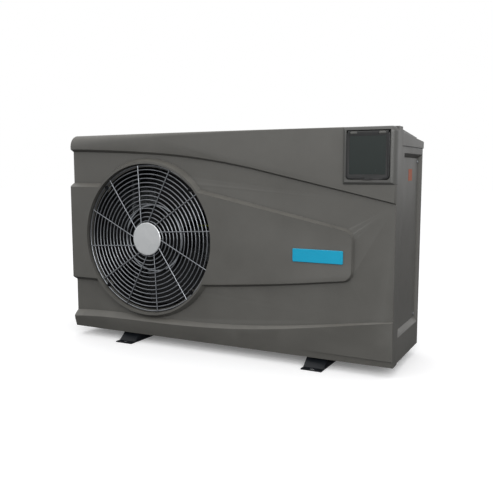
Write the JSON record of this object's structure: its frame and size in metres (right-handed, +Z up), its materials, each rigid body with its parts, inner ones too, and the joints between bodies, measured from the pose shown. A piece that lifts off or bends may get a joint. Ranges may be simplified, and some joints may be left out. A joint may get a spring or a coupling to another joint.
{
  "type": "swimming pool heat pump",
  "caption": "Horizontal air-source pool heat pump: moulded casing with a large round fan guard, flip-cover controller, rear water unions and two pressed feet.",
  "frame": {"origin": "middle of the overall footprint, on the surface the feet stand on", "axes": "+X to the right seen from the front, +Y from the front to the rear, +Z up"},
  "size_m": [1.0105, 0.365, 0.619],
  "materials": {
    "casing_abs": "satin grained moulding",
    "bezel_abs": "satin moulding",
    "painted_steel": "satin powder coat",
    "black_abs": "satin moulding",
    "fan_plastic": "satin moulding",
    "smoked_pane": "polished, smoked",
    "wire_zinc": "zinc plated",
    "disc_aluminium": "satin",
    "badge_plastic": "gloss",
    "label_film": "matt film",
    "aluminium_fin": "mill finish",
    "galvanised_steel": "galvanised",
    "motor_steel": "black paint",
    "compressor_paint": "gloss black paint",
    "copper": "drawn copper tube",
    "valve_brass": "machined",
    "titanium": "drawn titanium tube",
    "rubber_black": "matt",
    "earth_pvc": "sheathed",
    "board_laminate": "solder mask"
  },
  "bodies": {
    "casing": {"accumulator": "compressor_paint", "badge": "badge_plastic", "base_pan": "painted_steel", "cable_glands": "black_abs", "cable_grommet": "rubber_black", "casing_screws": "wire_zinc", "coil_end_plates": "galvanised_steel", "coil_fins": "aluminium_fin", "coil_guard": "black_abs", "compressor": "compressor_paint", "compressor_bolts": "wire_zinc", "compressor_grommets": "rubber_black", "control_board": "board_laminate", "control_box": "galvanised_steel", "control_box_lid": "galvanised_steel", "controller_bezel": "bezel_abs", "controller_body": "black_abs", "display": "smoked_pane", "drain_nozzle": "black_abs", "earth_wire": "earth_pvc", "expansion_valve": "valve_brass", "fan_grille": "wire_zinc", "fan_motor": "motor_steel", "fan_shroud": "fan_plastic", "flow_sensor": "black_abs", "foot_left": "painted_steel", "foot_right": "painted_steel", "front_panel": "casing_abs", "grille_disc": "disc_aluminium", "grille_screws": "wire_zinc", "heat_exchanger": "black_abs", "hinge_pins": "wire_zinc", "label": "label_film", "left_panel": "casing_abs", "motor_bearings": "motor_steel", "motor_bracket": "galvanised_steel", "motor_cable": "rubber_black", "motor_stator": "motor_steel", "partition_panel": "galvanised_steel", "rear_panel": "painted_steel", "refrigerant_pipes": "copper", "reversing_valve": "valve_brass", "right_panel": "casing_abs", "service_cover": "casing_abs", "terminal_block": "black_abs", "titanium_coil": "titanium", "top_cover": "casing_abs", "union_nuts": "black_abs", "union_tails": "black_abs", "valve_solenoid": "black_abs"},
    "fan": {"fan_rotor": "fan_plastic", "fan_nut": "wire_zinc", "motor_shaft": "motor_steel", "motor_rotor": "motor_steel"},
    "cover": {"flip_cover": "black_abs", "cover_pane": "smoked_pane"},
    "button_power": {"button_power": "black_abs"},
    "button_mode": {"button_mode": "black_abs"},
    "button_down": {"button_down": "black_abs"},
    "button_up": {"button_up": "black_abs"}
  },
  "joints": [
    {"name": "fan_spin", "type": "hinge", "parent": "casing", "child": "fan", "pos_m": [-0.224, -0.0995, 0.315], "axis": [0, -1, 0], "continuous": true},
    {"name": "cover_hinge", "type": "hinge", "parent": "casing", "child": "cover", "pos_m": [0.436, -0.1695, 0.603], "axis": [-1, 0, 0], "range_deg": [0, 95]},
    {"name": "press_power", "type": "slide", "parent": "casing", "child": "button_power", "axis": [0, 1, 0], "range_m": [0, 0.0008], "stiffness_N_per_m": 400, "springref_m": -0.0005},
    {"name": "press_mode", "type": "slide", "parent": "casing", "child": "button_mode", "axis": [0, 1, 0], "range_m": [0, 0.0008], "stiffness_N_per_m": 400, "springref_m": -0.0005},
    {"name": "press_down", "type": "slide", "parent": "casing", "child": "button_down", "axis": [0, 1, 0], "range_m": [0, 0.0008], "stiffness_N_per_m": 400, "springref_m": -0.0005},
    {"name": "press_up", "type": "slide", "parent": "casing", "child": "button_up", "axis": [0, 1, 0], "range_m": [0, 0.0008], "stiffness_N_per_m": 400, "springref_m": -0.0005}
  ]
}
